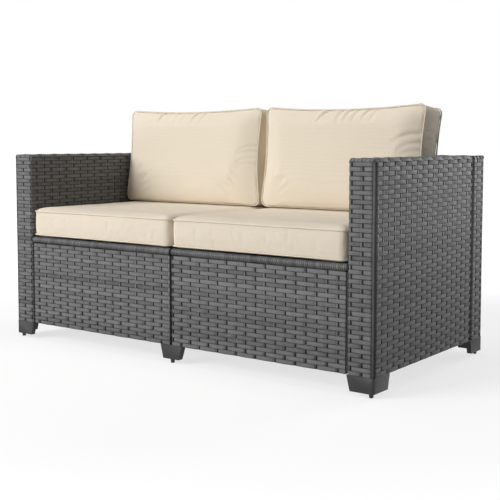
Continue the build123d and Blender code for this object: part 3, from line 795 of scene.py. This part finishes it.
def cushion_shell(half, corner, boxing, crowns, reaches, bows, bulge, settle, belly):
    """The cover before it is filled: two crowned panels, and a boxing that swells between
    two seams."""
    count = 260
    edge, normal = outline_points(half, corner, count)
    shares = np.concatenate([np.linspace(0.04, 0.8, 16), np.linspace(0.83, 1, 12)])
    panel = edge * shares[:, None, None]
    lower = -crowned(panel, half, corner, crowns[0], reaches, 0)
    upper = boxing + crowned(panel, half, corner, crowns[1], reaches, belly)
    up = np.linspace(0, 1, 9)[1:-1, None, None]
    sides = edge + normal * bulge * 4 * up * (1 - up)
    plan = np.concatenate([panel, sides, panel[::-1]])
    height = np.concatenate([lower, np.broadcast_to(boxing * up[..., 0], (7, count)), upper[::-1]])
    rings = np.concatenate([plan, height[..., None]], -1)
    grid = settled(drawn_in(rings, half, bows), half, boxing, *settle)
    points = grid.reshape(-1, 3)
    index = np.arange(len(points)).reshape(len(rings), count)
    middles = np.array([grid[0].mean(0), grid[-1].mean(0)])
    lower_fan = np.stack([np.full(count, len(points)), np.roll(index[0], -1), index[0]], -1)
    upper_fan = np.stack([np.full(count, len(points) + 1), index[-1], np.roll(index[-1], -1)], -1)
    return np.concatenate([points, middles]), [grid_quads(index), lower_fan, upper_fan]


def seam_line(half, corner, boxing, bows, settle, height, outset, count=520):
    """The closed line of a seam, moved out sideways by outset."""
    edge, normal = outline_points(half, corner, count)
    line = np.column_stack([drawn_in(edge, half, bows), np.full(count, height)])
    line = settled(line, half, boxing, *settle)
    line[:, :2] += normal * outset
    return line


def piping_tube(line, radius, sides=12):
    """Round piping along a closed line: a circle square to the line at each point, with the
    slight unevenness of its cord."""
    forward = np.roll(line, -1, 0) - np.roll(line, 1, 0)
    forward /= np.linalg.norm(forward, axis=1, keepdims=True)
    side = np.cross(forward, (0, 0, 1))
    side /= np.linalg.norm(side, axis=1, keepdims=True)
    over = np.cross(side, forward)
    angle = np.arange(sides) / sides * 2 * pi
    wobble = 1 + 0.03 * np.sin(np.arange(len(line)) / len(line) * 2 * pi * 61)
    reach = (radius * wobble)[:, None, None]
    ring = side[:, None] * np.cos(angle)[:, None] + over[:, None] * np.sin(angle)[:, None]
    points = (line[:, None] + reach * ring).reshape(-1, 3)
    index = np.arange(len(points)).reshape(len(line), sides)
    return points, facing_out(points, grid_quads(index, True))[0]


def vectors(values, key):
    """The places or normals of a mesh's vertices as an array."""
    array = np.zeros(len(values) * 3, np.float32)
    values.foreach_get(key, array)
    return array.reshape(-1, 3).astype(float)


def place_vertices(mesh, points):
    mesh.vertices.foreach_set("co", points.astype(np.float32).ravel())
    mesh.update()


def evaluated_copy(piece, name):
    """The mesh of a piece with its modifiers applied."""
    graph = bpy.context.evaluated_depsgraph_get()
    mesh = bpy.data.meshes.new_from_object(piece.evaluated_get(graph))
    mesh.name = name
    return mesh


cover_cloth = {
    "quality": 5,
    "mass": 0.25,
    "tension_stiffness": 12,
    "compression_stiffness": 12,
    "shear_stiffness": 5,
    "bending_stiffness": 0.4,
    "use_pressure": True,
}


def filled_cover(name, shell, seams, pressure, slack, cap, frames=20, voxel=0.006):
    """Fills a cushion cover: an even remesh, then cloth under pressure that is held at its
    seams and cut a little large, so it swells. Each point moves at most cap. One subdivision
    then gives room for creases."""
    points, faces = shell
    piece = mesh_object(name, points, faces)
    remesh = piece.modifiers.new("remesh", "REMESH")
    remesh.mode = "VOXEL"
    remesh.voxel_size = voxel
    piece.data = evaluated_copy(piece, name)
    piece.modifiers.clear()
    start = vectors(piece.data.vertices, "co")
    tree = KDTree(len(seams))
    for i, point in enumerate(seams):
        tree.insert(point, i)
    tree.balance()
    distance = np.array([tree.find(point)[2] for point in start])
    pins = piece.vertex_groups.new(name="seams")
    for i in np.nonzero(distance < voxel)[0]:
        pins.add([int(i)], 1.0, "REPLACE")
    modifier = piece.modifiers.new("cloth", "CLOTH")
    for key, value in cover_cloth.items():
        setattr(modifier.settings, key, value)
    modifier.settings.uniform_pressure_force = pressure
    modifier.settings.shrink_min = -slack
    modifier.settings.vertex_group_mass = "seams"
    modifier.settings.effector_weights.gravity = 0
    modifier.collision_settings.use_collision = False
    modifier.point_cache.frame_start = 1
    modifier.point_cache.frame_end = frames
    for number in range(1, frames + 1):
        scene.frame_set(number)
    blown = vectors(evaluated_copy(piece, name).vertices, "co")
    scene.frame_set(1)
    piece.modifiers.clear()
    piece.vertex_groups.clear()
    move = blown - start
    length = np.linalg.norm(move, axis=1, keepdims=True) + 1e-9
    place_vertices(piece.data, start + move * np.minimum(1, cap / length))
    smooth = piece.modifiers.new("smooth", "SUBSURF")
    smooth.levels = smooth.render_levels = 1
    piece.data = evaluated_copy(piece, name)
    piece.modifiers.clear()
    return piece


def creased(points, normals, creases, plane, facing):
    """Presses creases into a cover on the side that faces along an axis. A crease runs in a
    plane of two axes from its first point to its second, a valley with a ridge beside it:
    depth * (0.6 exp(-((s + 2.2 w) / 1.5 w)^2) - exp(-(s / w)^2)) at s across it, for the
    width w. Along it the depth comes in at once and dies away."""
    press = np.zeros(len(points))
    flat = points[:, plane]
    for x0, y0, x1, y1, width, depth in creases:
        run = np.array([x1 - x0, y1 - y0])
        length = np.hypot(*run)
        run /= length
        past = flat - (x0, y0)
        share = past @ run / length
        bend = 0.10 * length * np.sin(pi * np.clip(share, 0, 1))
        s = past @ np.array([-run[1], run[0]]) + bend
        fade = np.clip((share + 0.12) / 0.2, 0, 1) * np.clip(1 - share, 0, 1) ** 0.7
        ridge = 0.6 * np.exp(-(((s + 2.2 * width) / (1.5 * width)) ** 2))
        press += depth * fade * (ridge - np.exp(-((s / width) ** 2)))
    toward = np.clip(normals @ np.array(facing) * 2 - 0.4, 0, 1)
    return points + normals * (press * toward)[:, None]


def uneven(points, normals, height, seed):
    """Broad, shallow waves of a stuffed cover: height times a sum of sines."""
    phase = np.random.default_rng(seed).uniform(0, 2 * pi, 4)
    x, y, z = points.T
    wave = np.sin(x * 31 + y * 12 + phase[0]) + np.sin(y * 43 - x * 17 + phase[1])
    wave += 0.6 * np.sin(x * 67 + y * 29 + z * 40 + phase[2])
    wave += 0.5 * np.sin(y * 88 - x * 45 + phase[3])
    return points + normals * (height * wave / 3)[:, None]


def to_world(points, origin, y_axis, z_axis):
    """From a cushion's own axes to the loveseat's."""
    axes = np.array([(1.0, 0.0, 0.0), y_axis, z_axis])
    return points @ axes + np.array(origin)


# Creases of the back cushions: start, end, width and depth. The front ones are gathered at
# the upper seam and pulled at the sides; the others cross the boxing on the right side.
left_creases = (
    (-0.114, 0.155, -0.152, 0.110, 0.0046, 0.0062),
    (-0.084, 0.152, -0.106, 0.108, 0.0058, 0.0030),
    (-0.056, 0.152, -0.078, 0.102, 0.0056, 0.0028),
    (-0.026, 0.152, -0.040, 0.108, 0.0054, 0.0024),
    (0.044, 0.155, 0.000, 0.108, 0.0046, 0.0068),
    (0.068, 0.150, 0.036, 0.092, 0.0062, 0.0030),
    (0.280, 0.032, 0.205, 0.004, 0.0042, 0.0020),
    (0.280, 0.012, 0.200, -0.008, 0.0040, 0.0018),
    (0.280, -0.008, 0.205, -0.031, 0.0042, 0.0018),
    (0.280, -0.030, 0.215, -0.038, 0.0036, 0.0012),
)
right_creases = (
    (-0.024, 0.154, -0.086, 0.100, 0.0048, 0.0070),
    (0.014, 0.151, -0.010, 0.100, 0.0060, 0.0030),
    (0.042, 0.151, 0.016, 0.100, 0.0056, 0.0032),
    (0.072, 0.151, 0.044, 0.102, 0.0056, 0.0030),
    (0.122, 0.155, 0.076, 0.112, 0.0048, 0.0056),
    (0.140, 0.152, 0.112, 0.106, 0.0062, 0.0022),
    (0.276, 0.068, 0.185, 0.038, 0.0064, 0.0036),
    (0.276, 0.042, 0.205, 0.016, 0.0060, 0.0024),
    (0.276, 0.016, 0.210, 0.000, 0.0055, 0.0016),
    (0.060, -0.140, 0.020, -0.128, 0.0044, 0.0018),
)
boxing_creases = (
    (0.100, 0.074, 0.012, 0.066, 0.0050, 0.0016),
    (0.100, 0.046, 0.020, 0.050, 0.0050, 0.0012),
    (0.100, 0.018, 0.030, 0.014, 0.0045, 0.0010),
)

boxing_bulge = 0.002
piping_radius = 0.0022
piping_outset = 0.0016
lean = radians(5.2)
back_axes = ((0, np.sin(lean), np.cos(lean)), (0, -np.cos(lean), np.sin(lean)))

# The cushions' measures: settle is drop, spread, tuck and droop; fill is pressure, slack and
# the furthest that a point moves
seat_form = {
    "axes": ((0, 1, 0), (0, 0, 1)),
    "half": (0.2940, 0.29085),
    "corner": 0.015,
    "boxing": 0.076,
    "crowns": (0.0075, 0.0098),
    "reaches": (0.020,) * 4,
    "bows": (0.001,) * 4,
    "settle": (0.0,) * 4,
    "belly": 0.0,
    "fill": (3.0, 0.003, 0.003),
    "creases": (),
}
back_form = {
    "axes": back_axes,
    "corner": 0.022,
    "boxing": 0.104,
    "crowns": (0.025, 0.024),
    "reaches": (0.085, 0.110, 0.105, 0.055),
    "settle": (0.006, 0.007, 0.005, 0.011),
    "belly": 0.30,
    "fill": (2.4, 0.002, 0.0028),
}
cushions = {
    "seat_cushion_left": {**seat_form, "origin": (-0.301, -0.0415, 0.3485)},
    "seat_cushion_right": {**seat_form, "origin": (0.299, -0.0415, 0.3485)},
    "back_cushion_left": {
        **back_form,
        "origin": (-0.3010, 0.2277, 0.5971),
        "half": (0.2915, 0.15685),
        "bows": (0.006, 0.011, 0.0, 0.011),
        "creases": left_creases,
    },
    "back_cushion_right": {
        **back_form,
        "origin": (0.2985, 0.2277, 0.5971),
        "half": (0.2865, 0.15685),
        "bows": (0.008, 0.012, 0.0, 0.013),
        "creases": right_creases,
    },
}

for number, (name, c) in enumerate(cushions.items()):
    form = (c["half"], c["corner"], c["boxing"])
    bows, settle = c["bows"], c["settle"]
    shell = cushion_shell(*form, c["crowns"], c["reaches"], bows, boxing_bulge, settle, c["belly"])
    seams = [seam_line(*form, bows, settle, h, 0) for h in (0, c["boxing"])]
    piece = filled_cover(name + "_cloth", shell, np.concatenate(seams), *c["fill"])
    points = vectors(piece.data.vertices, "co")
    normals = vectors(piece.data.vertex_normals, "vector")
    points = uneven(points, normals, 0.0006, number)
    points = creased(points, normals, c["creases"], [0, 1], (0, 0, 1))
    if name == "back_cushion_right":
        points = creased(points, normals, boxing_creases, [2, 1], (1, 0, 0))
    place_vertices(piece.data, to_world(points, c["origin"], *c["axes"]))
    piece.data.polygons.foreach_set("use_smooth", np.ones(len(piece.data.polygons), bool))
    finished(piece, cloth, [name + "_cover", name + "_filling"], name)

    lines = [seam_line(*form, bows, settle, h, piping_outset) for h in (0, c["boxing"])]
    tubes = [piping_tube(to_world(line, c["origin"], *c["axes"]), piping_radius) for line in lines]
    (lower, lower_quads), (upper, upper_quads) = tubes
    quads = [lower_quads, upper_quads + len(lower)]
    piping = mesh_object(name + "_edging", np.concatenate([lower, upper]), quads)
    finished(piping, piping_cloth, [name + "_piping"], name)


# Feet: the moulded blocks with eased edges
def eased_copy(node, name, width):
    """A copy of a hard node with its corners merged and its edges rounded."""
    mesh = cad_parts[node].data.copy()
    mesh.name = name
    work = bmesh.new()
    work.from_mesh(mesh)
    bmesh.ops.remove_doubles(work, verts=work.verts, dist=0.00001)
    bmesh.ops.dissolve_limit(
        work, angle_limit=radians(1), verts=work.verts, edges=work.edges, delimit={"NORMAL"}
    )
    work.to_mesh(mesh)
    work.free()
    mesh.polygons.foreach_set("use_smooth", np.ones(len(mesh.polygons), bool))
    piece = placed(name, mesh)
    bevel = piece.modifiers.new("eased", "BEVEL")
    bevel.width = width
    bevel.segments = 2
    bevel.limit_method = "ANGLE"
    bevel.angle_limit = radians(40)
    bevel.harden_normals = True
    return piece


for node in sorted(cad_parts):
    if node.startswith("foot_") and node != "foot_screws":
        piece = eased_copy(node, node.replace("foot", "block"), 0.0012)
        finished(piece, plastic, [node])

node_finishes = (
    (("arm_posts", "arm_rails", "arm_spacers", "back_posts", "back_rails", "back_spacers"), steel),
    (("seat_front_rail", "seat_long_rails", "seat_rear_rail", "skirt_"), steel),
    (("glide_",), nylon),
    (("frame_bolts", "frame_washers", "back_bolts", "rivet_nuts", "foot_screws"), zinc),
)
for starts, material in node_finishes:
    for name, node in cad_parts.items():
        if name.startswith(starts):
            node.data.materials.clear()
            node.data.materials.append(material)


# A pale floor that sends its light back to the loveseat by its albedo. To the eye and in
# reflections it glows, so that only a share of its light and shade is seen, and the glow
# rises to full white away from the loveseat
looks = {"Roughness": 0.9, "Specular_IOR_Level": 0.0, "Emission_Color": (1, 1, 1, 1)}
pale, tree, shader = new_material("pale_floor", **looks)
seen = seen_directly(tree)
albedo, shown = (0.72, 0.72, 0.72, 1), (0.34, 0.34, 0.34, 1)
feed(tree, shader.inputs["Base Color"], mix_colours(tree, seen, albedo, shown))
place = add_node(tree, "ShaderNodeTexCoord").outputs["Object"]
away = add_node(tree, "ShaderNodeVectorMath", {"operation": "LENGTH"}, Vector=place)
glow = {"From_Min": 1.0, "From_Max": 2.6, "To_Min": 0.72, "To_Max": 1.05}
smooth = {"interpolation_type": "SMOOTHSTEP"}
rise = map_range(tree, away.outputs["Value"], smooth, **glow)
feed(tree, shader.inputs["Emission Strength"], math_node(tree, "MULTIPLY", seen, rise))

floor_points = np.array([(-40, -40, 0), (40, -40, 0), (40, 40, 0), (-40, 40, 0)], float)
floor_points[:, 2] = cad_low[2] - 0.0005
floor = mesh_object("floor", floor_points, [np.array([(0, 1, 2, 3)])])
floor.data.materials.append(pale)

# Backdrop, light and camera
world = bpy.data.worlds.new("studio")
scene.world = world
world.use_nodes = True
tree = world.node_tree
tree.nodes.clear()
strength = math_node(tree, "MULTIPLY_ADD", seen_directly(tree), 0.90, 0.10)
sky = add_node(tree, "ShaderNodeBackground", Color=(1, 1, 1, 1), Strength=strength)
add_node(tree, "ShaderNodeOutputWorld", Surface=sky.outputs[0])


def area_light(name, azimuth, elevation, distance, size, power):
    """A square soft light aimed at the loveseat. Azimuth 0 is in front, 90 on its +X side."""
    light = bpy.data.lights.new(name, "AREA")
    light.energy = power
    light.size = size
    lamp = placed(name, light)
    a, e = radians(azimuth), radians(elevation)
    way = Vector((np.sin(a) * np.cos(e), -np.cos(a) * np.cos(e), np.sin(e)))
    lamp.location = way * distance + Vector((0, 0, 0.35))
    lamp.rotation_euler = way.to_track_quat("Z", "Y").to_euler()


area_light("key", -30, 24, 6.0, 3.4, 294)
area_light("rim", 160, 12, 5.0, 2.0, 98)
area_light("top", 0, 88, 3.5, 2.2, 34)

camera_data = bpy.data.cameras.new("camera")
camera = placed("camera", camera_data)
camera.location = (1.857, -2.441, 0.650)
camera.rotation_euler = (radians(85.74), 0, radians(36.62))
camera_data.lens = 69.2
camera_data.sensor_width = 36
camera_data.shift_y = -0.072
scene.camera = camera
